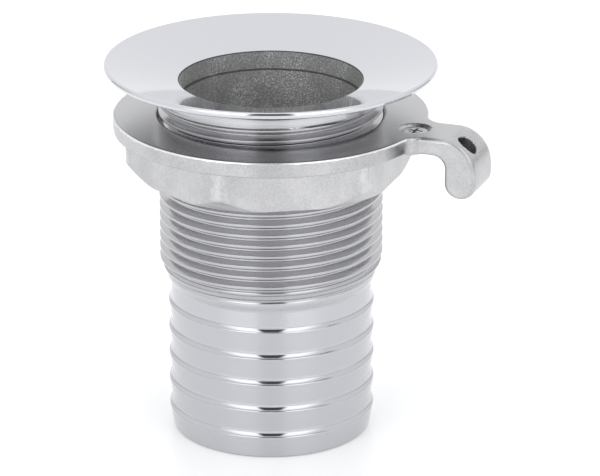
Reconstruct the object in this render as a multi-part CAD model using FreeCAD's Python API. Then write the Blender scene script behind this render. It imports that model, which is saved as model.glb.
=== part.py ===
import FreeCAD, Part
import os
from math import cos, radians, sin, tan

# Stainless steel thru-hull fitting with a hose tail and a flange nut. Millimetres, +Z up.
# The origin is on the axis, at the bottom end of the hose tail. The dished head is at the top.
# Angles are counted round the axis from -Y towards +X.

# Overall
OVERALL_HEIGHT = 82.1

# Head: a thin dished mushroom with a rounded lip, on a plain collar
HEAD_R = 35.4
LIP_THICKNESS = 1.4
BORE_MOUTH_R = 19.5
BORE_MOUTH_Z = 78.06
BORE_MOUTH_DEPTH = 4.0
COLLAR_R = 24.0
COLLAR_LOW_Z = 74.7
COLLAR_TOP_Z = 77.0
COLLAR_CHAMFER_R = 24.8
COLLAR_CHAMFER_Z = 77.6

# Bore below the machined mouth
BORE_R = 18.9

# Pipe thread, 1-1/2 inch parallel (11 turns per inch)
THREAD_CREST_R = 23.9
THREAD_ROOT_R = 22.42
THREAD_PITCH = 2.309
THREAD_FLANK_ANGLE = 27.5
CREST_WIDTH = 0.5
THREAD_PHASE_Z = 0.33
THREAD_FULL_Z = 38.8
THREAD_END_Z = 33.4
NECK_RISE = 1.6
GROOVE_END_RISE = 0.8
THREAD_CLEARANCE = 0.07
THREAD_OVERRUN = 0.15
SLEEVE_OVERLAP = 0.1
NUT_MINOR_R = 22.6

# Hose tail
TAIL_NECK_R = 21.55
BARB_COUNT = 5
BARB_PITCH = 5.98
BARB_TOP_Z = 28.8
BARB_CREST_R = 22.15
BARB_VALLEY_R = 21.3
BARB_LEDGE_HEIGHT = 0.7
BARB_CREST_LAND = 0.5
TAIL_END_ROUND = 0.6

# Flange nut
NUT_TOP_Z = 70.76
NUT_HEIGHT = 12.96
NUT_CLOCK = 69.3
FLANGE_R = 33.6
FLANGE_THICKNESS = 3.5
FLANGE_EDGE_ROUND = 0.35
ACROSS_FLATS = 54.8
HEX_CORNER_ROUND = 2.5
NUT_CHAMFER_HEIGHT = 4.0
NUT_BOTTOM_R = 28.0
NUT_MOUTH_R = 24.35
NUT_MOUTH_INNER_R = 22.35

# Ring of the nut's own steel that only travels along the thread
CORE_RING_R_IN = 25.2
CORE_RING_R_OUT = 26.4
CORE_RING_Z = 61.5
CORE_RING_HEIGHT = 7.0
CORE_RING_CLEARANCE = 0.02

# Arm that leaves the flange over one flat and hooks down
ARM_WIDTH = 12.0
ARM_THICKNESS = 3.7
ARM_START_U = 28.0
ARM_OUTER_U = 47.5
ARM_OUTER_ROUND = 7.3
HOOK_INNER_U = 40.55
HOOK_INNER_ROUND = 2.6
HOOK_TIP_Z = 58.1
ARM_ROOT_FILLET = 2.5
ARM_ROOT_DEPTH = 3.0
ARM_HOLE_R = 2.3
ARM_HOLE_TILT = 53.0
ARM_HOLE_SIDE = -1.6

# Small cross-head countersunk screw (M3) in the arm's root
SCREW_U = 32.3
SCREW_SINK = 0.45
SCREW_HEAD_R = 2.8
SCREW_SHANK_R = 1.5
SCREW_LENGTH = 5.0
SCREW_HOLE_R = 1.55
SCREW_TIP_CHAMFER = 0.3
COUNTERSINK_R = 3.3
CROSS_LENGTH = 3.2
CROSS_WIDTH = 0.62
CROSS_DEPTH = 1.0

# Pin of the screw's own steel that only travels along the screw's axis
CORE_PIN_R = 0.7
CORE_PIN_LENGTH = 2.4
CORE_PIN_LOW = 0.6
CORE_PIN_CLEARANCE = 0.02

# How far a cutting shape runs past the faces that it cuts
OVERSHOOT = 1.0

AXIS = FreeCAD.Vector(0, 0, 1)
ORIGIN = FreeCAD.Vector(0, 0, 0)


def lathe(points, arcs=()):
    """Solid of revolution from (r, z) points; arcs maps a segment's index to its middle point."""
    middles = dict(arcs)
    edges = []
    for i, (r, z) in enumerate(points):
        start = FreeCAD.Vector(r, 0, z)
        end = FreeCAD.Vector(points[(i + 1) % len(points)][0], 0, points[(i + 1) % len(points)][1])
        if i in middles:
            middle = FreeCAD.Vector(middles[i][0], 0, middles[i][1])
            edges.append(Part.Arc(start, middle, end).toShape())
        else:
            edges.append(Part.LineSegment(start, end).toShape())
    face = Part.Face(Part.Wire(edges))
    return face.revolve(ORIGIN, AXIS, 360)


def single_solid(shape):
    """The one solid in a boolean's result."""
    solids = shape.Solids
    assert len(solids) == 1, len(solids)
    return solids[0]


def helix_ridge(root_r, crest_r, crest_half, low_z, high_z):
    """Ridge with 55-degree flanks, wound right-handed from about low_z to about high_z."""
    inner_r = root_r - THREAD_OVERRUN
    inner_half = crest_half + (crest_r - inner_r) * tan(radians(THREAD_FLANK_ANGLE))
    start_z = THREAD_PHASE_Z + int((low_z - THREAD_PHASE_Z) / THREAD_PITCH) * THREAD_PITCH
    turns = int((high_z - start_z) / THREAD_PITCH) + 1
    path = Part.makeHelix(THREAD_PITCH, turns * THREAD_PITCH, root_r)
    section = Part.makePolygon([
        FreeCAD.Vector(inner_r, 0, -inner_half), FreeCAD.Vector(crest_r, 0, -crest_half),
        FreeCAD.Vector(crest_r, 0, crest_half), FreeCAD.Vector(inner_r, 0, inner_half),
        FreeCAD.Vector(inner_r, 0, -inner_half)])
    ridge = Part.Wire(path).makePipeShell([section], True, True)
    ridge.translate(FreeCAD.Vector(0, 0, start_z))
    ridge.rotate(ORIGIN, AXIS, -90)
    return ridge


def tail_outline():
    """Outer (r, z) points of the hose tail, from its bottom end up to the neck."""
    points = [(BARB_VALLEY_R - TAIL_END_ROUND, 0), (BARB_VALLEY_R, TAIL_END_ROUND)]
    for i in range(BARB_COUNT - 1, -1, -1):
        crest_z = BARB_TOP_Z - i * BARB_PITCH
        points.append((BARB_CREST_R, crest_z - BARB_CREST_LAND))
        points.append((BARB_CREST_R, crest_z))
        valley_r = TAIL_NECK_R if i == 0 else BARB_VALLEY_R
        points.append((valley_r, crest_z + BARB_LEDGE_HEIGHT))
    return points


def fitting_body():
    """Head, pipe thread and hose tail, turned from one casting."""
    underside_r = HEAD_R - LIP_THICKNESS / 2
    lip_low_z = OVERALL_HEIGHT - LIP_THICKNESS
    outer = tail_outline()
    outer += [(TAIL_NECK_R, THREAD_END_Z), (THREAD_ROOT_R, THREAD_END_Z + NECK_RISE),
              (THREAD_ROOT_R, COLLAR_LOW_Z - GROOVE_END_RISE), (COLLAR_R, COLLAR_LOW_Z),
              (COLLAR_R, COLLAR_TOP_Z), (COLLAR_CHAMFER_R, COLLAR_CHAMFER_Z)]
    lip_index = len(outer)
    outer += [(underside_r, lip_low_z), (underside_r, OVERALL_HEIGHT)]
    bore = [(BORE_MOUTH_R, BORE_MOUTH_Z), (BORE_MOUTH_R, BORE_MOUTH_Z - BORE_MOUTH_DEPTH),
            (BORE_R, BORE_MOUTH_Z - BORE_MOUTH_DEPTH), (BORE_R, 0)]
    lip_middle = (HEAD_R, lip_low_z + LIP_THICKNESS / 2)
    turned = lathe(outer + bore, {lip_index: lip_middle})

    ridge = helix_ridge(THREAD_ROOT_R, THREAD_CREST_R, CREST_WIDTH / 2,
                        THREAD_END_Z - THREAD_PITCH, COLLAR_LOW_Z + THREAD_PITCH)
    slope = (THREAD_FULL_Z - THREAD_END_Z) / (THREAD_CREST_R - TAIL_NECK_R)
    outside_r = THREAD_CREST_R + OVERSHOOT
    inside_r = BORE_R + OVERSHOOT
    sleeve_top_z = COLLAR_LOW_Z + SLEEVE_OVERLAP
    ridge_top_z = sleeve_top_z + SLEEVE_OVERLAP
    run_out = [(inside_r, THREAD_END_Z), (TAIL_NECK_R, THREAD_END_Z),
               (outside_r, THREAD_END_Z + slope * (outside_r - TAIL_NECK_R)),
               (outside_r, ridge_top_z), (inside_r, ridge_top_z)]
    sleeve_low_z = THREAD_END_Z - OVERSHOOT
    sleeve = lathe([(BORE_R, sleeve_low_z), (TAIL_NECK_R, sleeve_low_z), (TAIL_NECK_R, THREAD_END_Z),
                    (THREAD_ROOT_R, THREAD_END_Z + NECK_RISE), (THREAD_ROOT_R, sleeve_top_z),
                    (BORE_R, sleeve_top_z)])
    threaded = sleeve.fuse(ridge.common(lathe(run_out)))
    return single_solid(turned.fuse(threaded))


def hexagon(height, low_z):
    """Hexagonal prism with rounded upright corners, one flat facing NUT_CLOCK."""
    corner_r = ACROSS_FLATS / 2 / cos(radians(30))
    corners = []
    for i in range(7):
        turn = radians(NUT_CLOCK + 30 + 60 * i)
        corners.append(FreeCAD.Vector(corner_r * sin(turn), -corner_r * cos(turn), low_z))
    prism = Part.Face(Part.makePolygon(corners)).extrude(FreeCAD.Vector(0, 0, height))
    upright = [e for e in prism.Edges if abs(e.tangentAt(e.FirstParameter).z) > 0.99]
    return prism.makeFillet(HEX_CORNER_ROUND, upright)


def arm_outline():
    """Side outline of the arm and hook: (u, z) edges in its own upright plane."""
    top_z = NUT_TOP_Z
    low_z = NUT_TOP_Z - ARM_THICKNESS
    tip_r = (ARM_OUTER_U - HOOK_INNER_U) / 2
    outer_c = (ARM_OUTER_U - ARM_OUTER_ROUND, top_z - ARM_OUTER_ROUND)
    inner_c = (HOOK_INNER_U - HOOK_INNER_ROUND, low_z - HOOK_INNER_ROUND)
    tip_c = (HOOK_INNER_U + tip_r, HOOK_TIP_Z + tip_r)

    def at(u, z):
        return FreeCAD.Vector(u, 0, z)

    def bend(centre, radius, start, end):
        middle = radians((start + end) / 2)
        ends = [at(centre[0] + radius * cos(radians(a)), centre[1] + radius * sin(radians(a)))
                for a in (start, end)]
        through = at(centre[0] + radius * cos(middle), centre[1] + radius * sin(middle))
        return Part.Arc(ends[0], through, ends[1]).toShape()

    def line(start, end):
        return Part.LineSegment(at(*start), at(*end)).toShape()

    return Part.Wire([
        line((ARM_START_U, top_z), (outer_c[0], top_z)),
        bend(outer_c, ARM_OUTER_ROUND, 90, 0),
        line((ARM_OUTER_U, outer_c[1]), (ARM_OUTER_U, tip_c[1])),
        bend(tip_c, tip_r, 0, -180),
        line((HOOK_INNER_U, tip_c[1]), (HOOK_INNER_U, inner_c[1])),
        bend(inner_c, HOOK_INNER_ROUND, 0, 90),
        line((inner_c[0], low_z), (ARM_START_U, low_z)),
        line((ARM_START_U, low_z), (ARM_START_U, top_z))])


def turn_to_arm(shape):
    """Turns a shape built along +X (u) round to the arm's direction."""
    shape.rotate(ORIGIN, AXIS, NUT_CLOCK - 90)
    return shape


def arm():
    """Arm and hook, with the slanted hole through its bend."""
    side = Part.Face(arm_outline())
    side.translate(FreeCAD.Vector(0, -ARM_WIDTH / 2, 0))
    bar = side.extrude(FreeCAD.Vector(0, ARM_WIDTH, 0))
    outer_c = FreeCAD.Vector(ARM_OUTER_U - ARM_OUTER_ROUND, ARM_HOLE_SIDE, NUT_TOP_Z - ARM_OUTER_ROUND)
    tilt = radians(ARM_HOLE_TILT)
    outward = FreeCAD.Vector(cos(tilt), 0, sin(tilt))
    reach = ARM_OUTER_ROUND + 2 * OVERSHOOT
    hole = Part.makeCylinder(ARM_HOLE_R, 2 * reach, outer_c + outward * reach, outward * -1)
    return turn_to_arm(bar.cut(hole))


def arm_root():
    """Concave webs that blend the arm's sides into the flange's rim."""
    half = ARM_WIDTH / 2
    side = half + ARM_ROOT_FILLET
    centre_u = ((FLANGE_R + ARM_ROOT_FILLET) ** 2 - side ** 2) ** 0.5
    touch_u = centre_u * FLANGE_R / (FLANGE_R + ARM_ROOT_FILLET)
    touch_v = side * FLANGE_R / (FLANGE_R + ARM_ROOT_FILLET)
    low_z = NUT_TOP_Z - FLANGE_THICKNESS
    inner_u = touch_u - ARM_ROOT_DEPTH
    web = Part.makePolygon([
        FreeCAD.Vector(inner_u, -touch_v, low_z), FreeCAD.Vector(touch_u, -touch_v, low_z),
        FreeCAD.Vector(centre_u, -side, low_z), FreeCAD.Vector(centre_u, side, low_z),
        FreeCAD.Vector(touch_u, touch_v, low_z), FreeCAD.Vector(inner_u, touch_v, low_z),
        FreeCAD.Vector(inner_u, -touch_v, low_z)])
    block = Part.Face(web).extrude(FreeCAD.Vector(0, 0, FLANGE_THICKNESS))
    for v in (-side, side):
        corner = FreeCAD.Vector(centre_u, v, low_z - OVERSHOOT)
        block = block.cut(Part.makeCylinder(ARM_ROOT_FILLET, FLANGE_THICKNESS + 2 * OVERSHOOT, corner))
    return turn_to_arm(block)


def screw_place():
    """Where the screw's axis meets the nut's top face."""
    turn = radians(NUT_CLOCK)
    return FreeCAD.Vector(SCREW_U * sin(turn), -SCREW_U * cos(turn), NUT_TOP_Z)


def flange_nut():
    """Round flange, hexagon and arm in one casting, with the pipe thread cut through it."""
    low_z = NUT_TOP_Z - NUT_HEIGHT
    flange_low_z = NUT_TOP_Z - FLANGE_THICKNESS
    e = FLANGE_EDGE_ROUND
    flange = lathe([(0, flange_low_z), (FLANGE_R - e, flange_low_z), (FLANGE_R, flange_low_z + e),
                    (FLANGE_R, NUT_TOP_Z - e), (FLANGE_R - e, NUT_TOP_Z), (0, NUT_TOP_Z)])
    hexagon_solid = hexagon(NUT_HEIGHT - FLANGE_THICKNESS, low_z)
    chamfer = lathe([(0, low_z), (NUT_BOTTOM_R, low_z), (NUT_BOTTOM_R + NUT_CHAMFER_HEIGHT,
                     low_z + NUT_CHAMFER_HEIGHT), (NUT_BOTTOM_R + NUT_CHAMFER_HEIGHT, NUT_TOP_Z),
                    (0, NUT_TOP_Z)])
    blank = flange.fuse([hexagon_solid.common(chamfer), arm_root(), arm()])

    mouth_r = NUT_MOUTH_R + OVERSHOOT
    depth = NUT_MOUTH_R - NUT_MOUTH_INNER_R
    mouths = lathe([(0, low_z - OVERSHOOT), (mouth_r, low_z - OVERSHOOT), (NUT_MOUTH_INNER_R, low_z + depth),
                    (NUT_MOUTH_INNER_R, NUT_TOP_Z - depth), (mouth_r, NUT_TOP_Z + OVERSHOOT),
                    (0, NUT_TOP_Z + OVERSHOOT)])
    bore_low_z = low_z - 2 * THREAD_PITCH
    bore_top_z = NUT_TOP_Z + 2 * THREAD_PITCH
    bore = lathe([(0, bore_low_z), (NUT_MINOR_R, bore_low_z), (NUT_MINOR_R, bore_top_z), (0, bore_top_z)])
    groove = helix_ridge(NUT_MINOR_R, THREAD_CREST_R + THREAD_CLEARANCE,
                         CREST_WIDTH / 2 + THREAD_CLEARANCE / 2,
                         low_z - THREAD_PITCH, NUT_TOP_Z + THREAD_PITCH)
    tapped = bore.fuse(groove)
    ring_gap = CORE_RING_CLEARANCE
    ring_room = lathe([(CORE_RING_R_IN - ring_gap, CORE_RING_Z), (CORE_RING_R_OUT + ring_gap, CORE_RING_Z),
                       (CORE_RING_R_OUT + ring_gap, CORE_RING_Z + CORE_RING_HEIGHT),
                       (CORE_RING_R_IN - ring_gap, CORE_RING_Z + CORE_RING_HEIGHT)])
    place = screw_place()
    sink = lathe([(0, SCREW_HOLE_R - COUNTERSINK_R), (SCREW_HOLE_R, SCREW_HOLE_R - COUNTERSINK_R),
                  (COUNTERSINK_R, 0), (COUNTERSINK_R, OVERSHOOT), (0, OVERSHOOT)])
    sink.translate(place)
    drill = Part.makeCylinder(SCREW_HOLE_R, NUT_HEIGHT, place + AXIS * OVERSHOOT, AXIS * -1)
    for tool in (tapped, mouths, ring_room, sink, drill):
        blank = blank.cut(tool)
    return single_solid(blank)


def nut_core_ring():
    """Plain ring inside the nut's wall."""
    top_z = CORE_RING_Z + CORE_RING_HEIGHT
    return lathe([(CORE_RING_R_IN, CORE_RING_Z), (CORE_RING_R_OUT, CORE_RING_Z),
                  (CORE_RING_R_OUT, top_z), (CORE_RING_R_IN, top_z)])


def arm_screw():
    """Countersunk screw with a cross recess."""
    head_depth = SCREW_HEAD_R - SCREW_SHANK_R
    screw = lathe([(0, -SCREW_LENGTH), (SCREW_SHANK_R - SCREW_TIP_CHAMFER, -SCREW_LENGTH),
                   (SCREW_SHANK_R, -SCREW_LENGTH + SCREW_TIP_CHAMFER), (SCREW_SHANK_R, -head_depth),
                   (SCREW_HEAD_R, 0), (0, 0)])
    for length, width in ((CROSS_LENGTH, CROSS_WIDTH), (CROSS_WIDTH, CROSS_LENGTH)):
        slot = Part.makeBox(length, width, CROSS_DEPTH, FreeCAD.Vector(-length / 2, -width / 2, -CROSS_DEPTH))
        screw = screw.cut(slot)
    gap = CORE_PIN_CLEARANCE
    pin_room = Part.makeCylinder(CORE_PIN_R + gap, CORE_PIN_LENGTH,
                                 FreeCAD.Vector(0, 0, CORE_PIN_LOW - SCREW_LENGTH))
    screw = screw.cut(pin_room)
    screw.translate(screw_place() - FreeCAD.Vector(0, 0, SCREW_SINK))
    return single_solid(screw)


def screw_core_pin():
    """Plain pin inside the screw's shank."""
    low = screw_place() - FreeCAD.Vector(0, 0, SCREW_SINK + SCREW_LENGTH - CORE_PIN_LOW)
    return Part.makeCylinder(CORE_PIN_R, CORE_PIN_LENGTH, low)


def main():
    os.makedirs("parts", exist_ok=True)
    nodes = {"fitting_body": fitting_body(), "flange_nut": flange_nut(),
             "nut_core_ring": nut_core_ring(), "arm_screw": arm_screw(),
             "screw_core_pin": screw_core_pin()}
    for name, shape in nodes.items():
        assert shape.isValid(), name
        shape.exportStep("parts/" + name + ".step")
        box = shape.BoundBox
        print(name, "volume", round(shape.Volume, 1), "z", round(box.ZMin, 3), round(box.ZMax, 3))


main()
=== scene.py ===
from math import ceil, cos, pi, radians, sin, tan

import bpy
import numpy as np
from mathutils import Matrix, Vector


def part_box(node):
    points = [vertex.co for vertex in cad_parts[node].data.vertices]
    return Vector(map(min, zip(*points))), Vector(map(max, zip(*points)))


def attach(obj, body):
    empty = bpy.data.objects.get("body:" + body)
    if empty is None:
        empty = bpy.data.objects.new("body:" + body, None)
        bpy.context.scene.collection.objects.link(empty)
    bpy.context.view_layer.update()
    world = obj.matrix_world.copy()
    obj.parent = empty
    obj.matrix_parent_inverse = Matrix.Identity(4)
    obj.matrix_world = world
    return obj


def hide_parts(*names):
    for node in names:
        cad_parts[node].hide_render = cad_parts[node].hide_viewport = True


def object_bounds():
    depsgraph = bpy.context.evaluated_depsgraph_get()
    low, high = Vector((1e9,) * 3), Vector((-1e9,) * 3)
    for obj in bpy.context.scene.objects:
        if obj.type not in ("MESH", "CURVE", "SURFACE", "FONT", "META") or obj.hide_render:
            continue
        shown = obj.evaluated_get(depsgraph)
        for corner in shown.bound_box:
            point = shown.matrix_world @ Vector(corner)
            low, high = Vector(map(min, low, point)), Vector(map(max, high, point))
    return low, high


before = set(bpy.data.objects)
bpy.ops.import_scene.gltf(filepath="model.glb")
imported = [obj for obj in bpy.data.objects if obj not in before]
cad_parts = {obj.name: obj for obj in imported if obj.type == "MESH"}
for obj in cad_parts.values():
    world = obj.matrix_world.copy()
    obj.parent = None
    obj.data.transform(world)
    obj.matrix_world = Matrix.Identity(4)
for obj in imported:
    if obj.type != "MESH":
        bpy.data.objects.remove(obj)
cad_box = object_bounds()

# Stainless steel thru-hull fitting. Sizes are in millimetres and MM turns them into metres.
# The frame is the CAD's: +Z up, the origin on the axis at the tail's end face.
MM = 0.001

# Head
HEAD_R = cad_box[1].y / MM
HEAD_TOP_Z = cad_box[1].z / MM
LIP_THICKNESS = 1.4
LIP_BULGE = 0.25
LIP_CORNER_ROUND = 0.45
LIP_MIDDLE_ROUND = 0.35
COLLAR_R = 24.0
COLLAR_LOW_Z = 74.7
COLLAR_TOP_Z = 77.0
COLLAR_CHAMFER_R = 24.8
COLLAR_CHAMFER_Z = 77.6
COLLAR_ROUND = 0.8
GROOVE_END_RISE = 0.8
MOUTH_R = 19.5
MOUTH_Z = 78.06
MOUTH_ROUND = 0.25
MOUTH_STEP_Z = 74.06
MOUTH_STEP_ROUND = 0.1
BORE_R = 18.9
BORE_STEP_ROUND = 0.15
BORE_SEAM_Z = (0.4, 0.6)
BORE_END_ROUND = 0.25

# Pipe thread, 1-1/2 inch parallel
CREST_R = 23.9
ROOT_R = 22.42
PITCH = 2.309
FLANK_ANGLE = radians(27.5)
CREST_WIDTH = 0.5
CREST_ROUND = 0.16
ROOT_ROUND = 0.12
PHASE_Z = 0.33
THREAD_END_Z = 33.4
THREAD_FULL_Z = 38.8
NECK_RISE = 1.6
RUN_OUT_BLEND = 0.15
THREAD_FINISH_Z = 35.8

# Hose tail
NECK_R = 21.55
BARB_COUNT = 5
BARB_PITCH = 5.98
BARB_TOP_Z = 28.8
BARB_CREST_R = 22.15
BARB_VALLEY_R = 21.3
LEDGE_HEIGHT = 0.7
BEAD_HEIGHT = 0.55
BEAD_DEPTH = 0.12
BARB_CREST_ROUND = 0.3
BARB_VALLEY_ROUND = 1.5
BEAD_ROUND = 0.8
BEAD_CORNER_ROUND = 0.2
BARB_CREST_HALF = 0.1
TAIL_END_ROUND = 0.6

# Mesh of the body: its columns, how far an arc turns at each step, and where rings give way to thread rows
COLUMNS = 188
ARC_STEP = radians(18)
ROWS_LOW_Z = THREAD_END_Z - 0.4
ROWS_HIGH_Z = COLLAR_LOW_Z + 0.6
ROW_GAP = 0.05

# Finishes of the body, in the order of its material slots; the last one is painted shade, a dark line on the
# mouth's edge and the bore's step
HEAD, TAIL, BORE, THREAD, UNDERSIDE, SHADED_EDGE = range(6)

# Flange nut
NUT_TOP_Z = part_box("flange_nut")[1].z / MM
NUT_LOW_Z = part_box("flange_nut")[0].z / MM
NUT_CLOCK = radians(69.3)
FLANGE_R = 33.6
FLANGE_THICKNESS = 3.5
FLANGE_EDGE = 0.5
HALF_FLATS = 27.4
HEX_CORNER_ROUND = 2.5
NUT_BOTTOM_R = 28.0
NUT_MOUTH_R = 24.35
NUT_MINOR_R = 22.75
NUT_GROOVE_R = 24.05
FLANGE_FILLET = 0.9
HEX_EDGE_ROUND = 0.3
GROOVE_SLOPE = 0.6
CAST_WAVES = 0.05
CAST_WAVE_SIZE = 5.0
CAST_DENTS = 0.02
CAST_DENT_SIZE = 1.7
NUT_GRID = 0.4

# Where the nut's finishes and its painted corner highlight fade in: radii, and depths under its top face
SKIN_RADII = (29.3, 30.0)
SKIN_DEPTHS = (5.2, 4.4)
CORNER_HIGHLIGHT_RADII = (30.5, 31.2)
CORNER_HIGHLIGHT_OUTER_RADII = (31.7, 32.3)
CORNER_HIGHLIGHT_DEPTHS = (4.2, 3.6)
FACED_DEPTHS = (0.12, 0.04)
WORN_DEPTHS = (0.55, 0.3)
WORN_RADII = (FLANGE_R - 0.45, FLANGE_R - 0.2)
WORN_OUTER_RADII = (FLANGE_R + 0.05, FLANGE_R + 0.25)

# Arm and hook
ARM_WIDTH = 12.0
ARM_THICKNESS = 3.7
ARM_START_U = 28.0
ARM_OUTER_U = 47.5
ARM_OUTER_ROUND = 7.3
HOOK_INNER_U = 40.55
HOOK_INNER_ROUND = 2.6
HOOK_TIP_Z = 58.1
ARM_EDGE_ROUND = 0.9
ARM_ROOT_FILLET = 2.5
ARM_HOLE_R = 2.3
ARM_HOLE_TILT = radians(53)
ARM_HOLE_SIDE = -1.6
ARM_HOLE_ROUND = 0.3
ARM_HOLE_SHADE_REACH = 0.1

# Screw in the arm's root
SCREW_U = 32.3
SCREW_TOP_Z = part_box("arm_screw")[1].z / MM
SCREW_LOW_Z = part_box("arm_screw")[0].z / MM
SCREW_HEAD_R = 2.8
SCREW_SHANK_R = 1.5
SCREW_HOLE_R = 1.55
COUNTERSINK_R = 3.3
CROSS_LENGTH = 3.2
CROSS_WIDTH = 0.62
CROSS_DEPTH = 1.0
SCREW_EDGE_ROUND = 0.15
CROSS_EDGE_ROUND = 0.08
SCREW_GRID = 0.12

# Camera: its place and aim in metres, its lens and sensor in millimetres
CAMERA_DISTANCE = 0.81265
CAMERA_ELEVATION = radians(19.762)
CAMERA_TARGET = Vector((0.00615, -0.00251, 0.04303))
CAMERA_PIVOT = Vector((0, 0, 0.05))
LENS = 227.7
SENSOR_WIDTH = 36.0

# Floor, in metres
FLOOR_REACH = 1.1


# ---------------------------------------------------------------- node helpers

def add(tree, kind, inputs=None, **settings):
    """A shader node; inputs maps a socket's name or number to a value or to another node's output."""
    made = tree.nodes.new(kind)
    for name, value in settings.items():
        setattr(made, name, value)
    for name, value in (inputs or {}).items():
        if isinstance(value, bpy.types.NodeSocket):
            tree.links.new(value, made.inputs[name])
        else:
            made.inputs[name].default_value = value
    return made


def calc(tree, operation, *values):
    """The output of a Math node."""
    return add(tree, "ShaderNodeMath", dict(enumerate(values)), operation=operation).outputs[0]


def ramp(tree, value, low, high, to_low=0.0, to_high=1.0):
    """A smooth step from to_low at low to to_high at high."""
    made = add(tree, "ShaderNodeMapRange", {"Value": value, "From Min": low, "From Max": high,
                                            "To Min": to_low, "To Max": to_high},
               interpolation_type="SMOOTHSTEP")
    return made.outputs["Result"]


def mottle(tree, vector, scale, detail=2.0, roughness=0.5):
    """The factor of a Noise texture; scale counts cells per metre."""
    made = add(tree, "ShaderNodeTexNoise", {"Vector": vector, "Scale": scale, "Detail": detail,
                                            "Roughness": roughness})
    return made.outputs["Fac"]


def bump(tree, height, distance, normal=None):
    """The normal of a Bump node; distance is in metres."""
    inputs = {"Height": height, "Strength": 1.0, "Distance": distance}
    if normal is not None:
        inputs["Normal"] = normal
    return add(tree, "ShaderNodeBump", inputs).outputs["Normal"]


def start_material(name, colour):
    """A metal material, its tree, its shader and its object coordinates."""
    material = bpy.data.materials.new(name)
    material.use_nodes = True
    tree = material.node_tree
    shader = tree.nodes["Principled BSDF"]
    shader.inputs["Base Color"].default_value = (*colour, 1)
    shader.inputs["Metallic"].default_value = 1.0
    place = add(tree, "ShaderNodeTexCoord").outputs["Object"]
    return material, tree, shader, place


def total(tree, first, *others):
    """The sum of two or more values."""
    for other in others:
        first = calc(tree, "ADD", first, other)
    return first


def product(tree, first, *others):
    """The product of two or more values."""
    for other in others:
        first = calc(tree, "MULTIPLY", first, other)
    return first


def rest_of(tree, share):
    """What a share leaves of one."""
    return calc(tree, "SUBTRACT", 1.0, share)


def from_axis(tree, parts):
    """Distance from the Z axis, given separate X and Y."""
    return calc(tree, "SQRT", total(tree, product(tree, parts["X"], parts["X"]),
                                    product(tree, parts["Y"], parts["Y"])))


def fade(tree, length, ends, to_low=0.0, to_high=1.0):
    """A smooth step over a length, with its ends in millimetres."""
    return ramp(tree, length, ends[0] * MM, ends[1] * MM, to_low, to_high)


def turning_marks(tree, place, per_metre, detail):
    """Noise in rings round the axis: it changes along a turned surface and is the same all round it."""
    parts = add(tree, "ShaderNodeSeparateXYZ", {0: place}).outputs
    along = total(tree, from_axis(tree, parts), parts["Z"])
    made = add(tree, "ShaderNodeTexNoise", {"W": product(tree, along, per_metre), "Scale": 1.0,
                                            "Detail": detail}, noise_dimensions="1D")
    return made.outputs["Fac"]


# ------------------------------------------------------------------- materials

def polished_steel(name, colour, roughness, scratch_depth):
    """Turned and polished steel: rings round the axis that smear its reflections, and a slight haze."""
    material, tree, shader, place = start_material(name, colour)
    haze = ramp(tree, mottle(tree, place, 90, detail=3), 0.35, 0.7, 0.0, 0.035)
    fine = ramp(tree, mottle(tree, place, 1500), 0.45, 0.75, 0.0, 0.03)
    tree.links.new(total(tree, haze, fine, roughness), shader.inputs["Roughness"])
    scratches = ramp(tree, turning_marks(tree, place, 9000, 2.0), 0.5, 0.8)
    tree.links.new(bump(tree, scratches, scratch_depth), shader.inputs["Normal"])
    return material


def cast_wall(name, dark, light, roughness, relief):
    """Unpolished casting: a fine bright grain on a darker ground, denser in some patches."""
    material, tree, shader, place = start_material(name, (light, light, light))
    grain = mottle(tree, place, 3300, detail=3, roughness=0.7)
    patches = mottle(tree, place, 130, detail=3)
    tone = product(tree, ramp(tree, grain, 0.42, 0.68), ramp(tree, patches, 0.35, 0.65, 0.5, 1.0))
    colour = add(tree, "ShaderNodeMix", {"Factor": tone, "A": (dark, dark, dark, 1),
                                         "B": (light, light, light, 1)}, data_type="RGBA")
    tree.links.new(colour.outputs["Result"], shader.inputs["Base Color"])
    tree.links.new(ramp(tree, patches, 0.3, 0.7, roughness, roughness + 0.05), shader.inputs["Roughness"])
    tree.links.new(bump(tree, grain, relief), shader.inputs["Normal"])
    return material


def nut_height(depths):
    """Heights at two depths under the nut's top face."""
    return [NUT_TOP_Z - depth for depth in depths]


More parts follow.
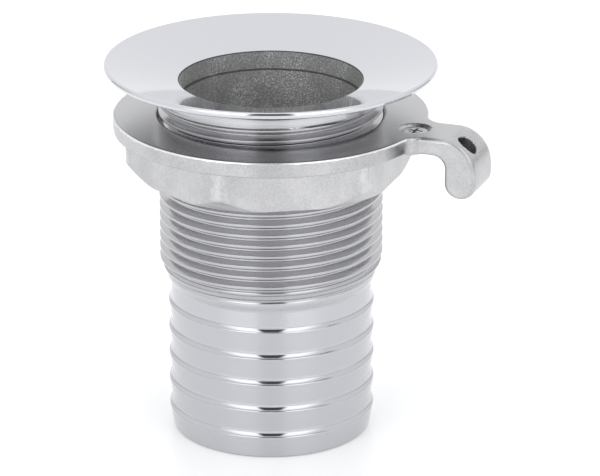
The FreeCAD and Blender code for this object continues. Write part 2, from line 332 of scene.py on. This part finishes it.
def cast_steel():
    """The nut's casting: satin flats with a rough skin, a faced top, a rim worn bright and a painted
    highlight on the hex corners.
    """
    material, tree, shader, place = start_material("cast_steel", (0.58, 0.58, 0.59))
    parts = add(tree, "ShaderNodeSeparateXYZ", {0: place}).outputs
    radius = from_axis(tree, parts)
    grain = mottle(tree, place, 2400, detail=3, roughness=0.65)
    pits = mottle(tree, place, 620, detail=3)
    patches = mottle(tree, place, 160, detail=3)
    swing = calc(tree, "SUBTRACT", pits, 0.5)
    uneven_r = total(tree, radius, product(tree, swing, 2.0 * MM))
    uneven_z = total(tree, parts["Z"], product(tree, swing, 0.5 * MM))

    # Shares of each finish: the faced top, the rough skin and the worn rim, and the share of a painted
    # highlight on the hex corners
    faced = fade(tree, parts["Z"], nut_height(FACED_DEPTHS))
    cast = rest_of(tree, faced)
    skin = product(tree, fade(tree, uneven_r, SKIN_RADII, 1.0, 0.0),
                   fade(tree, parts["Z"], nut_height(SKIN_DEPTHS), 1.0, 0.0))
    # Painted highlight: the hex body's rounded corners are lightened
    corner = product(tree, fade(tree, uneven_r, CORNER_HIGHLIGHT_RADII),
                     fade(tree, parts["Z"], nut_height(CORNER_HIGHLIGHT_DEPTHS), 1.0, 0.0),
                     fade(tree, radius, CORNER_HIGHLIGHT_OUTER_RADII, 1.0, 0.0))
    normal = add(tree, "ShaderNodeNewGeometry").outputs["Normal"]
    upward = add(tree, "ShaderNodeSeparateXYZ", {0: normal}).outputs["Z"]
    worn = product(tree, fade(tree, radius, WORN_RADII), fade(tree, radius, WORN_OUTER_RADII, 1.0, 0.0),
                   ramp(tree, upward, 0.8, 0.97, 1.0, 0.0), fade(tree, uneven_z, nut_height(WORN_DEPTHS)))

    tone = total(tree, ramp(tree, grain, 0.3, 0.7, -0.05, 0.05), ramp(tree, patches, 0.3, 0.7, -0.04, 0.03))
    # The worn rim is real wear; the corners' share is a painted highlight
    bright = calc(tree, "MAXIMUM", worn, product(tree, corner, 0.25))
    level = total(tree, 0.515, product(tree, tone, cast), product(tree, bright, 0.38),
                  product(tree, skin, 0.04))
    colour = add(tree, "ShaderNodeCombineColor", {0: level, 1: level, 2: product(tree, level, 1.012)})
    tree.links.new(colour.outputs[0], shader.inputs["Base Color"])

    rough = total(tree, ramp(tree, grain, 0.3, 0.7, 0.27, 0.35), product(tree, skin, 0.05))
    plain = add(tree, "ShaderNodeMix", {"Factor": faced, "A": rough, "B": 0.27}).outputs["Result"]
    tree.links.new(plain, shader.inputs["Roughness"])

    depth = product(tree, cast, total(tree, 0.1, product(tree, skin, 0.6)))
    coarse = bump(tree, product(tree, pits, depth), 0.13 * MM)
    fine = bump(tree, product(tree, grain, depth), 0.05 * MM, coarse)
    marks = product(tree, turning_marks(tree, place, 5000, 3.0), faced)
    tree.links.new(bump(tree, marks, 0.004 * MM, fine), shader.inputs["Normal"])
    return material


def screw_steel():
    """Bright small screw with a faint brushed grain."""
    material, tree, shader, place = start_material("screw_steel", (0.62, 0.62, 0.63))
    grain = mottle(tree, place, 3500)
    tree.links.new(ramp(tree, grain, 0.3, 0.7, 0.18, 0.34), shader.inputs["Roughness"])
    tree.links.new(bump(tree, grain, 0.01 * MM), shader.inputs["Normal"])
    return material


def floor_paint():
    """White light table with a hardly visible mottle, a slight sheen and a little light of its own."""
    material = bpy.data.materials.new("studio_floor")
    material.use_nodes = True
    tree = material.node_tree
    shader = tree.nodes["Principled BSDF"]
    place = add(tree, "ShaderNodeTexCoord").outputs["Object"]
    tone = ramp(tree, mottle(tree, place, 4), 0.3, 0.7, 0.9, 0.92)
    colour = add(tree, "ShaderNodeCombineColor", {0: tone, 1: tone, 2: tone}).outputs[0]
    tree.links.new(colour, shader.inputs["Base Color"])
    shader.inputs["Emission Color"].default_value = (1, 1, 1, 1)
    shader.inputs["Emission Strength"].default_value = 0.17
    shader.inputs["Roughness"].default_value = 0.26
    shader.inputs["Specular IOR Level"].default_value = 0.8
    return material


# ------------------------------------------------------------- mesh making

def make_piece(name, points, faces, normals, materials, face_materials, body):
    """A mesh object from points in millimetres, with its own vertex normals, riding on a body."""
    mesh = bpy.data.meshes.new(name)
    mesh.from_pydata((np.asarray(points) * MM).tolist(), [], faces)
    for material in materials:
        mesh.materials.append(material)
    mesh.polygons.foreach_set("material_index", face_materials)
    mesh.polygons.foreach_set("use_smooth", [True] * len(faces))
    mesh.update()
    mesh.normals_split_custom_set_from_vertices(np.asarray(normals).tolist())
    piece = bpy.data.objects.new(name, mesh)
    bpy.context.scene.collection.objects.link(piece)
    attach(piece, body)
    return piece


def rounded_path(corners):
    """(r, z, normal r, normal z) along a line whose corners, given as (r, z, radius), are arcs."""
    spots = [Vector(c[:2]) for c in corners]
    path = []

    def stand(spot, side):
        """Adds a point and its normal to the path."""
        path.append((spot.x, spot.y, side.x, side.y))

    for i, (spot, corner) in enumerate(zip(spots, corners)):
        before = (spot - spots[i - 1]).normalized() if i else None
        after = (spots[i + 1] - spot).normalized() if i + 1 < len(spots) else None
        if before is None or after is None:
            way = after or before
            stand(spot, Vector((way.y, -way.x)))
            continue
        turn = before.cross(after)
        angle = before.angle(after)
        side = Vector((before.y, -before.x))
        sign = 1 if turn > 0 else -1
        start = spot - before * corner[2] * tan(angle / 2)
        centre = start - side * corner[2] * sign
        steps = max(1, ceil(angle / ARC_STEP))
        for k in range(steps + 1):
            swing = sign * angle * k / steps
            turned = Vector((side.x * cos(swing) - side.y * sin(swing),
                             side.x * sin(swing) + side.y * cos(swing)))
            stand(centre + turned * corner[2] * sign, turned)
    return path


# ------------------------------------------------------------- fitting body

def thread_section():
    """(distance from the crest's middle along the axis, radius) over one pitch, corners rounded."""
    foot = CREST_WIDTH / 2 + (CREST_R - ROOT_R) * tan(FLANK_ANGLE)
    corners = [(-PITCH / 2, ROOT_R), (-foot, ROOT_R, ROOT_ROUND), (-CREST_WIDTH / 2, CREST_R, CREST_ROUND),
               (CREST_WIDTH / 2, CREST_R, CREST_ROUND), (foot, ROOT_R, ROOT_ROUND), (PITCH / 2, ROOT_R)]
    path = rounded_path([(c[1], c[0], c[2] if len(c) > 2 else 0) for c in corners])
    return np.array([p[1] for p in path]), np.array([p[0] for p in path])


SECTION_S, SECTION_R = thread_section()


def soft_min(a, b, blend):
    """The smaller of two values, with the corner between them rounded."""
    share = np.maximum(blend - np.abs(a - b), 0) / blend
    return np.minimum(a, b) - share ** 2 * blend / 4


def soft_max(a, b, blend):
    """The larger of two values, with the corner between them rounded."""
    return -soft_min(-a, -b, blend)


def crest_z(turn):
    """Height of the thread's crest at an angle round the axis from +X, less whole pitches."""
    return PHASE_Z + PITCH * (turn + pi / 2) / (2 * pi)


def threaded_radius(turn, z):
    """Outer radius of the barrel between the tail's neck and the head's collar."""
    s = np.mod(z - crest_z(turn) + PITCH / 2, PITCH) - PITCH / 2
    ridge = np.interp(s, SECTION_S, SECTION_R)
    run_out = NECK_R + (z - THREAD_END_Z) * (CREST_R - NECK_R) / (THREAD_FULL_Z - THREAD_END_Z)
    floor = np.interp(z, [THREAD_END_Z, THREAD_END_Z + NECK_RISE], [NECK_R, ROOT_R])
    radius = soft_max(soft_min(ridge, run_out, RUN_OUT_BLEND), floor, RUN_OUT_BLEND)
    groove_end = ROOT_R + (z - COLLAR_LOW_Z + GROOVE_END_RISE) * (COLLAR_R - ROOT_R) / GROOVE_END_RISE
    top = soft_max(radius, groove_end, RUN_OUT_BLEND)
    return np.where(z < COLLAR_LOW_Z - 2 * GROOVE_END_RISE, radius, soft_min(top, COLLAR_R, RUN_OUT_BLEND))


def threaded_normal(turn, z):
    """Outward normal of that surface, by differences."""
    step = 0.02  # millimetres each way
    radius = threaded_radius(turn, z)
    up = (threaded_radius(turn, z + step) - threaded_radius(turn, z - step)) / (2 * step)
    swing = step / radius
    around = (threaded_radius(turn + swing, z) - threaded_radius(turn - swing, z)) / (2 * step)
    radial = np.stack([np.cos(turn), np.sin(turn), np.zeros_like(turn)], -1)
    along = np.stack([-np.sin(turn), np.cos(turn), np.zeros_like(turn)], -1)
    normal = radial - along * around[:, None] - np.array([0, 0, 1.0]) * up[:, None]
    return normal / np.linalg.norm(normal, axis=1)[:, None]


def tail_path(top_z):
    """From the bore's lower end round the tail's end face and up the barbs to top_z on the neck."""
    corners = [(BORE_R, BORE_SEAM_Z[0], 0), (BORE_R, 0, BORE_END_ROUND), (BARB_VALLEY_R, 0, TAIL_END_ROUND)]
    for i in range(BARB_COUNT - 1, -1, -1):
        z = BARB_TOP_Z - i * BARB_PITCH
        valley_r = BARB_VALLEY_R if i else NECK_R
        corners += [(BARB_CREST_R - BEAD_DEPTH, z - BEAD_HEIGHT, BEAD_ROUND),
                    (BARB_CREST_R, z - BARB_CREST_HALF, BEAD_CORNER_ROUND),
                    (BARB_CREST_R, z + BARB_CREST_HALF, BARB_CREST_ROUND),
                    (valley_r, z + LEDGE_HEIGHT, BARB_VALLEY_ROUND)]
    return rounded_path(corners + [(NECK_R, top_z, 0)])


def head_path(low_z):
    """From low_z on the collar round the head's lip, down the dish and the bore to its lower end."""
    corners = [(COLLAR_R, low_z, 0), (COLLAR_R, COLLAR_TOP_Z, COLLAR_ROUND),
               (COLLAR_CHAMFER_R, COLLAR_CHAMFER_Z, COLLAR_ROUND),
               (HEAD_R - LIP_BULGE, HEAD_TOP_Z - LIP_THICKNESS, LIP_CORNER_ROUND),
               (HEAD_R, HEAD_TOP_Z - LIP_THICKNESS / 2, LIP_MIDDLE_ROUND),
               (HEAD_R - LIP_BULGE, HEAD_TOP_Z, LIP_CORNER_ROUND),
               (MOUTH_R, MOUTH_Z, MOUTH_ROUND), (MOUTH_R, MOUTH_STEP_Z, MOUTH_STEP_ROUND),
               (BORE_R, MOUTH_STEP_Z, BORE_STEP_ROUND), (BORE_R, BORE_SEAM_Z[1], 0)]
    return rounded_path(corners)


def head_finish(start, end):
    """Which finish the head has between two points of its path, each (r, z, normal r, normal z); the mouth's
    edge and the bore's step get painted shade.
    """
    (start_r, start_z, _, start_up), (end_r, end_z) = start, end[:2]
    # The mouth's edge rounding and the bore's step get near-black cast steel: painted shade and a painted
    # dark reflection, as a thin dark line
    if MOUTH_R - 0.01 < start_r < MOUTH_R + 0.2 and start_z > MOUTH_Z - 0.19 and end_z < MOUTH_Z + 0.04:
        return SHADED_EDGE
    if start_r < MOUTH_R + 0.01 and end_z < MOUTH_Z - 0.3:
        on_step = max(abs(start_z - MOUTH_STEP_Z), abs(end_z - MOUTH_STEP_Z)) < 0.25
        return SHADED_EDGE if on_step else BORE
    if start_r > COLLAR_R - 0.1 and end_z < COLLAR_CHAMFER_Z + 0.1:
        return TAIL
    if start_up < -0.9 and end_r > COLLAR_CHAMFER_R + 0.5:
        return UNDERSIDE
    return HEAD


def helix_rows(turns, first):
    """Points on rows that follow the thread, numbered from first: heights, angles, {row: point} by column.

    The last column is the first one again, a whole turn on, so its rows have the numbers of a pitch less."""
    offsets = SECTION_S[:-1]
    per_pitch = len(offsets)
    row_count = int((ROWS_HIGH_Z - ROWS_LOW_Z) / PITCH + 3) * per_pitch
    first_turn = int((ROWS_LOW_Z - crest_z(pi / 2)) / PITCH) - 1
    heights, angles = [], []
    columns = [{} for _ in range(COLUMNS + 1)]
    for row in range(row_count):
        base = crest_z(pi / 2) + PITCH * (first_turn + row // per_pitch) + offsets[row % per_pitch]
        for j in range(COLUMNS):
            z = base + PITCH * j / COLUMNS
            if ROWS_LOW_Z + ROW_GAP < z < ROWS_HIGH_Z - ROW_GAP:
                columns[j][row] = first + len(heights)
                if j == 0:
                    columns[COLUMNS][row - per_pitch] = columns[j][row]
                heights.append(z)
                angles.append(turns[j])
    return np.array(heights), np.array(angles), columns


def thread_faces(columns, below, above, height_of):
    """Faces between the thread's columns and on to the rings below and above them, and their finishes."""
    faces, finishes = [], []
    for j in range(COLUMNS):
        left, right, k = columns[j], columns[j + 1], (j + 1) % COLUMNS
        shared = sorted(set(left) & set(right))
        low, high = shared[0], shared[-1]
        for row in shared[:-1]:
            faces.append((left[row], right[row], right[row + 1], left[row + 1]))
            finishes.append(THREAD if height_of(left[row]) > THREAD_FINISH_Z else TAIL)
        under_left = [left[row] for row in sorted(left) if row < low]
        under_right = [right[row] for row in sorted(right) if row < low]
        over_left = [left[row] for row in sorted(left) if row > high]
        over_right = [right[row] for row in sorted(right) if row > high]
        faces.append((below[j], below[k], *under_right, right[low], left[low], *reversed(under_left)))
        faces.append((left[high], right[high], *over_right, above[k], above[j], *reversed(over_left)))
        finishes += [TAIL, THREAD]
    return faces, finishes


def body_finishes():
    """The body's materials, in the order of its finishes."""
    return [polished_steel("head_polished_steel", (0.655, 0.66, 0.69), 0.03, 0.0008 * MM),
            polished_steel("tail_polished_steel", (0.525, 0.53, 0.555), 0.07, 0.006 * MM),
            cast_wall("bore_cast_steel", 0.38, 1.0, 0.58, 0.06 * MM),
            # The thread's steel is darker than the head's: painted shade on the thread under the head's lip
            polished_steel("thread_shaded_steel", (0.48, 0.48, 0.495), 0.15, 0.004 * MM),
            cast_wall("underside_cast_steel", 0.3, 0.5, 0.4, 0.03 * MM),
            # Near-black cast steel: painted shade for the dark line on the mouth's edge and the bore's step
            cast_wall("step_painted_shade", 0.08, 0.2, 0.5, 0.03 * MM)]


def fitting_body():
    """Head, thread and tail as one closed mesh whose thread rows follow the helix."""
    turns = pi / 2 + 2 * pi * np.arange(COLUMNS) / COLUMNS
    tail, head = tail_path(ROWS_LOW_Z), head_path(ROWS_HIGH_Z)
    points, normals, faces, finishes = [], [], [], []

    def ring(row):
        """Adds a ring of points for one point of a path."""
        r, z, nr, nz = row
        first = len(points)
        for turn in turns:
            points.append((r * cos(turn), r * sin(turn), z))
            normals.append((nr * cos(turn), nr * sin(turn), nz))
        return [first + j for j in range(COLUMNS)]

    def band(low, high, finish):
        """Adds the faces between two rings."""
        for j in range(COLUMNS):
            k = (j + 1) % COLUMNS
            faces.append((low[j], low[k], high[k], high[j]))
            finishes.append(finish)

    tail_rings = [ring(row) for row in tail]
    head_rings = [ring(row) for row in head]
    for low, high in zip(tail_rings, tail_rings[1:]):
        band(low, high, TAIL)
    for i, (low, high) in enumerate(zip(head_rings, head_rings[1:])):
        band(low, high, head_finish(head[i], head[i + 1]))
    band(head_rings[-1], tail_rings[0], BORE)

    first = len(points)
    heights, angles, columns = helix_rows(turns, first)
    radius = threaded_radius(angles, heights)
    points += np.stack([radius * np.cos(angles), radius * np.sin(angles), heights], -1).tolist()
    normals += threaded_normal(angles, heights).tolist()
    thread, thread_finishes = thread_faces(columns, tail_rings[-1], head_rings[0],
                                           lambda point: heights[point - first])
    piece = make_piece("fitting_body_visual", points, faces + thread, normals, body_finishes(),
                       finishes + thread_finishes, "fitting")
    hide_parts("fitting_body")


# ----------------------------------------------------- solids from distances

# How often a mesh's points are moved onto the surface, and how far to each side its slope is taken
SETTLING_STEPS = 3
SLOPE_STEP = 0.05


def cell_points(field):
    """A point in each grid cell that the surface crosses, and a grid of their numbers with -1 elsewhere.

    Each stands at the mean of the places where the surface crosses the cell's edges, in grid steps."""
    shape = np.array(field.shape) - 1
    sides = [slice(None, -1), slice(1, None)]
    counted = np.zeros(shape)
    place = np.zeros((*shape, 3))
    for axis in range(3):
        others = [a for a in range(3) if a != axis]
        for b in (0, 1):
            for c in (0, 1):
                pick = [None] * 3
                pick[others[0]], pick[others[1]] = sides[b], sides[c]
                start, end = list(pick), list(pick)
                start[axis], end[axis] = sides
                f0, f1 = field[tuple(start)], field[tuple(end)]
                crossed = (f0 < 0) != (f1 < 0)
                share = np.where(crossed, f0 / np.where(crossed, f0 - f1, 1), 0)
                offset = [0, 0, 0]
                offset[others[0]], offset[others[1]] = b, c
                for a in range(3):
                    place[..., a] += np.where(crossed, share if a == axis else offset[a], 0)
                counted += crossed
    cells = counted > 0
    number = np.full(shape, -1)
    number[cells] = np.arange(cells.sum())
    return np.argwhere(cells) + place[cells] / counted[cells][:, None], number


def cell_quads(inside, number):
    """A quad round each grid edge that has one end inside, from the points of the four cells beside it."""
    quads = []
    for axis in range(3):
        b, c = [(1, 2), (2, 0), (0, 1)][axis]
        start, end = [slice(1, -1)] * 3, [slice(1, -1)] * 3
        start[axis], end[axis] = slice(0, -1), slice(1, None)
        a_in, b_in = inside[tuple(start)], inside[tuple(end)]
        for sign, found in ((1, a_in & ~b_in), (-1, ~a_in & b_in)):
            spots = np.argwhere(found) + np.array([0 if a == axis else 1 for a in range(3)])
            corners = []
            for db, dc in ((-1, -1), (0, -1), (0, 0), (-1, 0)):
                cell = spots.copy()
                cell[:, b] += db
                cell[:, c] += dc
                corners.append(number[tuple(cell.T)])
            quads.append(np.stack(corners[::sign], -1))
    return np.concatenate(quads)


def surface(distance, low, high, grid):
    """Points, quads and normals of the surface where distance(x, y, z) is zero."""
    axes = [np.arange(a - 1.5 * grid, b + 2.5 * grid, grid) for a, b in zip(low, high)]
    field = distance(*np.meshgrid(*axes, indexing="ij"))
    points, number = cell_points(field)
    quads = cell_quads(field < 0, number)
    points = points * grid + np.array([axis[0] for axis in axes])
    for _ in range(SETTLING_STEPS):
        points = points - slope(distance, points, SLOPE_STEP) * distance(*points.T)[:, None]
    return points, quads, slope(distance, points, SLOPE_STEP)


def slope(distance, points, step):
    """Unit direction in which distance grows."""
    sides = []
    for axis in range(3):
        shift = np.zeros(3)
        shift[axis] = step
        sides.append(distance(*(points + shift).T) - distance(*(points - shift).T))
    grown = np.stack(sides, -1)
    return grown / np.maximum(np.linalg.norm(grown, axis=1), 1e-9)[:, None]


def rounded(a, b, radius):
    """Where two distances meet, a convex edge of that radius."""
    past = np.hypot(np.maximum(a + radius, 0), np.maximum(b + radius, 0))
    return np.minimum(np.maximum(a, b), -radius) + past


def filleted(a, b, radius):
    """Union of two distances with a concave fillet of that radius."""
    short = np.hypot(np.maximum(radius - a, 0), np.maximum(radius - b, 0))
    return np.maximum(np.minimum(a, b), radius) - short


def hexagon(u, v):
    """Distance to the rounded hexagon with a flat facing +u."""
    half = HALF_FLATS - HEX_CORNER_ROUND
    x, y = np.abs(v), np.abs(u)
    fold = 2 * np.minimum(-cos(pi / 6) * x + 0.5 * y, 0)
    x, y = x + cos(pi / 6) * fold, y - 0.5 * fold
    x = x - np.clip(x, -half * tan(pi / 6), half * tan(pi / 6))
    y = y - half
    return np.hypot(x, y) * np.sign(y) - HEX_CORNER_ROUND


def quadrant(u, z, side_u, top_z, radius):
    """Distance to the region below top_z and inside side_u, with its corner rounded."""
    a, b = u - side_u + radius, z - top_z + radius
    return np.hypot(np.maximum(a, 0), np.maximum(b, 0)) + np.minimum(np.maximum(a, b), 0) - radius


def arm_distance(u, v, z):
    """The arm and its hook, without the hole."""
    outer = quadrant(u, z, ARM_OUTER_U, NUT_TOP_Z, ARM_OUTER_ROUND)
    inner = quadrant(u, z, HOOK_INNER_U, NUT_TOP_Z - ARM_THICKNESS, HOOK_INNER_ROUND)
    tip_r = (ARM_OUTER_U - HOOK_INNER_U) / 2
    tip = np.hypot(u - HOOK_INNER_U - tip_r, z - HOOK_TIP_Z - tip_r) - tip_r
    side = np.where((z < HOOK_TIP_Z + tip_r) & (u > HOOK_INNER_U - tip_r), tip, np.maximum(outer, -inner))
    side = np.maximum(side, ARM_START_U - u)
    return rounded(side, np.abs(v) - ARM_WIDTH / 2, ARM_EDGE_ROUND)


def arm_hole_distance(u, v, z):
    """Distance from the axis of the hole through the arm's bend."""
    centre_u, centre_z = ARM_OUTER_U - ARM_OUTER_ROUND, NUT_TOP_Z - ARM_OUTER_ROUND
    across = (u - centre_u) * sin(ARM_HOLE_TILT) - (z - centre_z) * cos(ARM_HOLE_TILT)
    return np.hypot(across, v - ARM_HOLE_SIDE)


LATTICE_SIZE = 24
LATTICE_SEED = 7
LATTICE = np.random.default_rng(LATTICE_SEED).uniform(-1, 1, (LATTICE_SIZE, LATTICE_SIZE, LATTICE_SIZE))


def lumps(x, y, z, size):
    """Smooth random values from -1 to 1 with lumps of about that size, repeating after LATTICE_SIZE lumps."""
    cells, shares = [], []
    for value in (x, y, z):
        whole = np.floor(value / size)
        share = value / size - whole
        cells.append(whole.astype(int))
        shares.append(share * share * (3 - 2 * share))
    mixed = 0
    for corner in np.ndindex(2, 2, 2):
        weight = 1
        for side, share in zip(corner, shares):
            weight = weight * (share if side else 1 - share)
        mixed = mixed + weight * LATTICE[tuple((c + side) % LATTICE_SIZE for c, side in zip(cells, corner))]
    return mixed


def nut_distance(u, v, z):
    """The whole nut in the arm's own axes: u along the arm, v across it."""
    r = np.hypot(u, v)
    middle = NUT_TOP_Z - FLANGE_THICKNESS / 2
    flange = rounded(r - FLANGE_R, np.abs(z - middle) - FLANGE_THICKNESS / 2, FLANGE_EDGE)
    chamfer = (r - NUT_BOTTOM_R - (z - NUT_LOW_Z)) / 2 ** 0.5
    six = rounded(rounded(hexagon(u, v), NUT_LOW_Z - z, HEX_EDGE_ROUND), chamfer, HEX_EDGE_ROUND)
    six = np.maximum(six, z - middle)
    solid = filleted(filleted(flange, six, FLANGE_FILLET), arm_distance(u, v, z), ARM_ROOT_FILLET)

    # The casting's waves and dents fade out towards the faced top
    waves = CAST_WAVES * (1 + lumps(u, v, z, CAST_WAVE_SIZE))
    uneven = waves + CAST_DENTS * (1 + lumps(z, u, v, CAST_DENT_SIZE))
    solid = np.maximum(solid + uneven * np.clip(NUT_TOP_Z - FLANGE_EDGE - z, 0, 1), z - NUT_TOP_Z)

    # Across a flank the groove's depth changes faster than the distance to it, so it is scaled down
    turn = np.arctan2(v, u) + NUT_CLOCK - pi / 2
    s = np.mod(z - crest_z(turn) + PITCH / 2, PITCH) - PITCH / 2
    groove = NUT_GROOVE_R - np.maximum(np.abs(s) - CREST_WIDTH / 2, 0) / tan(FLANK_ANGLE)
    bore = (np.maximum(groove, NUT_MINOR_R) - r) * GROOVE_SLOPE
    mouth = NUT_MOUTH_R - np.minimum(NUT_TOP_Z - z, z - NUT_LOW_Z)
    solid = np.maximum(solid, np.maximum(bore, (mouth - r) / 2 ** 0.5))
    solid = rounded(solid, ARM_HOLE_R - arm_hole_distance(u, v, z), ARM_HOLE_ROUND)

    from_screw = np.hypot(u - SCREW_U, v)
    sink = (COUNTERSINK_R - (NUT_TOP_Z - z) - from_screw) / 2 ** 0.5
    return np.maximum(solid, np.maximum(sink, SCREW_HOLE_R - from_screw))


def from_arm_axes(points):
    """Points or directions given along (u, v, z), turned into the frame's axes."""
    u_axis = np.array([sin(NUT_CLOCK), -cos(NUT_CLOCK), 0])
    v_axis = np.array([cos(NUT_CLOCK), sin(NUT_CLOCK), 0])
    return points[:, :1] * u_axis + points[:, 1:2] * v_axis + points[:, 2:] * np.array([0, 0, 1.0])


def flange_nut():
    """Flange, hexagon and arm as one casting."""
    low = (-FLANGE_R, -FLANGE_R, NUT_LOW_Z)
    high = (ARM_OUTER_U, FLANGE_R, NUT_TOP_Z)
    points, quads, normals = surface(nut_distance, low, high, NUT_GRID)
    middles = points[quads].mean(1)
    # The hole's wall and its rounding get a darker copy of the cast steel: painted shade inside the hole
    in_hole = arm_hole_distance(*middles.T) < ARM_HOLE_R + ARM_HOLE_SHADE_REACH
    piece = make_piece("flange_nut_visual", from_arm_axes(points), quads.tolist(), from_arm_axes(normals),
                       [cast_steel(), cast_wall("hole_shaded_cast_steel", 0.16, 0.45, 0.45, 0.04 * MM)],
                       in_hole.astype(int).tolist(), "nut")
    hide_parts("flange_nut")


def screw_distance(u, v, z):
    """Countersunk head, shank and cross recess, about the screw's own axis."""
    r = np.hypot(u, v)
    head = (r - SCREW_HEAD_R - (z - SCREW_TOP_Z)) / 2 ** 0.5
    shank = r - SCREW_SHANK_R
    solid = np.minimum(rounded(head, z - SCREW_TOP_Z, SCREW_EDGE_ROUND), shank)
    solid = rounded(solid, np.maximum(z - SCREW_TOP_Z, SCREW_LOW_Z - z), SCREW_EDGE_ROUND)
    arm = np.minimum(np.maximum(np.abs(u) - CROSS_LENGTH / 2, np.abs(v) - CROSS_WIDTH / 2),
                     np.maximum(np.abs(v) - CROSS_LENGTH / 2, np.abs(u) - CROSS_WIDTH / 2))
    recess = np.maximum(arm, SCREW_TOP_Z - CROSS_DEPTH - z)
    return rounded(solid, -recess, CROSS_EDGE_ROUND)


def arm_screw():
    """Small countersunk screw in the arm's root."""
    low = (-SCREW_HEAD_R, -SCREW_HEAD_R, SCREW_LOW_Z)
    high = (SCREW_HEAD_R, SCREW_HEAD_R, SCREW_TOP_Z)
    points, quads, normals = surface(screw_distance, low, high, SCREW_GRID)
    points = points + np.array([SCREW_U, 0, 0])
    piece = make_piece("arm_screw_visual", from_arm_axes(points), quads.tolist(), from_arm_axes(normals),
                       [screw_steel()], [0] * len(quads), "screw")
    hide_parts("arm_screw")


# ------------------------------------------------------------------- studio

def make_floor():
    """A plain square floor."""
    corners = [(x * FLOOR_REACH, y * FLOOR_REACH, 0) for x, y in ((-1, -1), (1, -1), (1, 1), (-1, 1))]
    mesh = bpy.data.meshes.new("floor")
    mesh.from_pydata(corners, [], [(0, 1, 2, 3)])
    mesh.materials.append(floor_paint())
    floor = bpy.data.objects.new("floor", mesh)
    bpy.context.scene.collection.objects.link(floor)


def sweep(tree, angle, start, end, to_low=0.0, to_high=1.0):
    """A smooth step over an angle, with its ends in degrees."""
    return ramp(tree, angle, radians(start), radians(end), to_low, to_high)


def make_world():
    """A white studio: two soft boxes in front, a dark gap between them and a dim band at the horizon."""
    world = bpy.data.worlds.new("studio")
    bpy.context.scene.world = world
    world.use_nodes = True
    tree = world.node_tree
    background = tree.nodes["Background"]
    place = add(tree, "ShaderNodeTexCoord").outputs["Generated"]
    parts = add(tree, "ShaderNodeSeparateXYZ", {0: place}).outputs
    aside = calc(tree, "ABSOLUTE", calc(tree, "ARCTAN2", parts["X"], product(tree, parts["Y"], -1.0)))
    height = calc(tree, "ARCSINE", parts["Z"])

    in_gap = product(tree, sweep(tree, aside, 13, 19, 1.0, 0.0), sweep(tree, height, 10, 22),
                     sweep(tree, height, 60, 80, 1.0, 0.0))
    in_box = product(tree, sweep(tree, aside, 38, 66, 1.0, 0.0), sweep(tree, height, 2, 14),
                     sweep(tree, height, 50, 75, 1.0, 0.0))
    near_horizon = rest_of(tree, sweep(tree, calc(tree, "ABSOLUTE", height), 2, 8))
    in_band = product(tree, near_horizon, sweep(tree, aside, 40, 100, 0.3, 0.42),
                      sweep(tree, aside, 140, 160, 1.0, 0.0))
    light = total(tree, 1.05, product(tree, in_box, 0.9))
    shade = product(tree, rest_of(tree, product(tree, in_gap, 0.95)), rest_of(tree, in_band))
    tree.links.new(product(tree, light, shade), background.inputs["Strength"])
    background.inputs["Color"].default_value = (0.985, 0.99, 1.0, 1)


def make_camera():
    """The camera in front, a little above the head."""
    data = bpy.data.cameras.new("camera")
    data.lens = LENS
    data.sensor_width = SENSOR_WIDTH
    data.clip_end = 50.0
    camera = bpy.data.objects.new("camera", data)
    back = Vector((0, -cos(CAMERA_ELEVATION), sin(CAMERA_ELEVATION)))
    camera.location = CAMERA_PIVOT + back * CAMERA_DISTANCE
    camera.rotation_euler = (CAMERA_TARGET - camera.location).to_track_quat("-Z", "Y").to_euler()
    bpy.context.scene.collection.objects.link(camera)
    bpy.context.scene.camera = camera


make_camera()
make_world()
make_floor()
bpy.context.scene.view_settings.view_transform = "Standard"

fitting_body()
flange_nut()
arm_screw()
